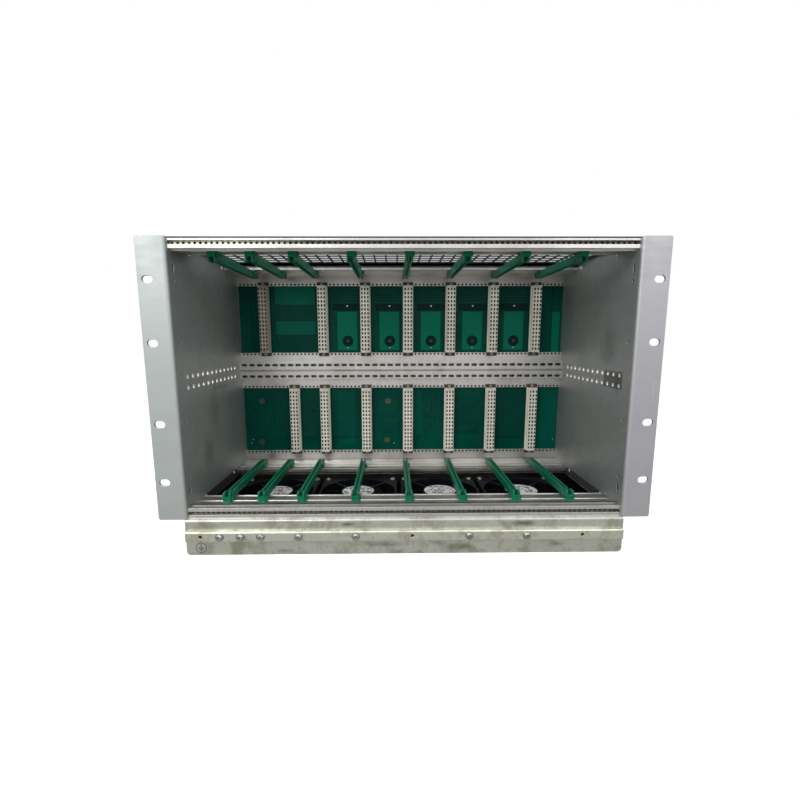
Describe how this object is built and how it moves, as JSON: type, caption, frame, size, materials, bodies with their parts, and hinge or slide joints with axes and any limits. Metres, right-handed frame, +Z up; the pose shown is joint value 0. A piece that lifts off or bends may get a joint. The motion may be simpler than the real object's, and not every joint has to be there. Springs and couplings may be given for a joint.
{
  "type": "subrack card cage",
  "caption": "Rack-mount card cage with two tiers of card guides, connectors and backplanes, threaded front rails, perforated cover, earth bar and fan tray.",
  "frame": {"origin": "middle of the part's footprint on the surface it stands on (underside of the fan tray)", "axes": "+X across the rack to the right as seen from the front, +Y from the front to the back, +Z up"},
  "size_m": [0.4826, 0.2424, 0.3029],
  "materials": {
    "side_panel": "satin",
    "rail": "satin",
    "strip": "satin",
    "board": "gloss",
    "connector": "matte",
    "card_guide": "satin",
    "cover": "satin",
    "tray": "satin",
    "earth_bar": "satin",
    "fan_frame": "matte",
    "fan_rotor": "matte",
    "screw": "satin"
  },
  "bodies": {
    "cage": {"side_panel_left": "side_panel", "side_panel_right": "side_panel", "front_rail_bottom": "rail", "front_rail_top": "rail", "rear_rail_bottom": "rail", "rear_rail_top": "rail", "mid_rail_lower": "rail", "mid_rail_upper": "rail", "threaded_strip_bottom": "strip", "threaded_strip_top": "strip", "backplane_lower": "board", "backplane_upper": "board", "connector_lower_1": "connector", "connector_lower_2": "connector", "connector_lower_3": "connector", "connector_lower_4": "connector", "connector_lower_5": "connector", "connector_lower_6": "connector", "connector_lower_7": "connector", "connector_upper_1": "connector", "connector_upper_2": "connector", "connector_upper_3": "connector", "connector_upper_4": "connector", "connector_upper_5": "connector", "connector_upper_6": "connector", "connector_upper_7": "connector", "card_guide_lower_1": "card_guide", "card_guide_lower_2": "card_guide", "card_guide_lower_3": "card_guide", "card_guide_lower_4": "card_guide", "card_guide_lower_5": "card_guide", "card_guide_lower_6": "card_guide", "card_guide_lower_7": "card_guide", "card_guide_lower_8": "card_guide", "card_guide_upper_1": "card_guide", "card_guide_upper_2": "card_guide", "card_guide_upper_3": "card_guide", "card_guide_upper_4": "card_guide", "card_guide_upper_5": "card_guide", "card_guide_upper_6": "card_guide", "card_guide_upper_7": "card_guide", "card_guide_upper_8": "card_guide", "top_cover": "cover", "fan_tray": "tray", "earth_bar": "earth_bar", "fan_housing_1": "fan_frame", "fan_housing_2": "fan_frame", "fan_housing_3": "fan_frame", "fan_housing_4": "fan_frame", "earth_screws": "screw", "rail_screws": "screw", "connector_screws": "screw", "fan_screws": "screw"},
    "rotor_1": {"fan_rotor_1": "fan_rotor"},
    "rotor_2": {"fan_rotor_2": "fan_rotor"},
    "rotor_3": {"fan_rotor_3": "fan_rotor"},
    "rotor_4": {"fan_rotor_4": "fan_rotor"}
  },
  "joints": [
    {"name": "fan_spin_1", "type": "hinge", "parent": "cage", "child": "rotor_1", "pos_m": [-0.1505, -0.0238, 0.0175], "axis": [0, 0, 1], "continuous": true},
    {"name": "fan_spin_2", "type": "hinge", "parent": "cage", "child": "rotor_2", "pos_m": [-0.0535, -0.0238, 0.0175], "axis": [0, 0, 1], "continuous": true},
    {"name": "fan_spin_3", "type": "hinge", "parent": "cage", "child": "rotor_3", "pos_m": [0.0435, -0.0238, 0.0175], "axis": [0, 0, 1], "continuous": true},
    {"name": "fan_spin_4", "type": "hinge", "parent": "cage", "child": "rotor_4", "pos_m": [0.1405, -0.0238, 0.0175], "axis": [0, 0, 1], "continuous": true}
  ]
}
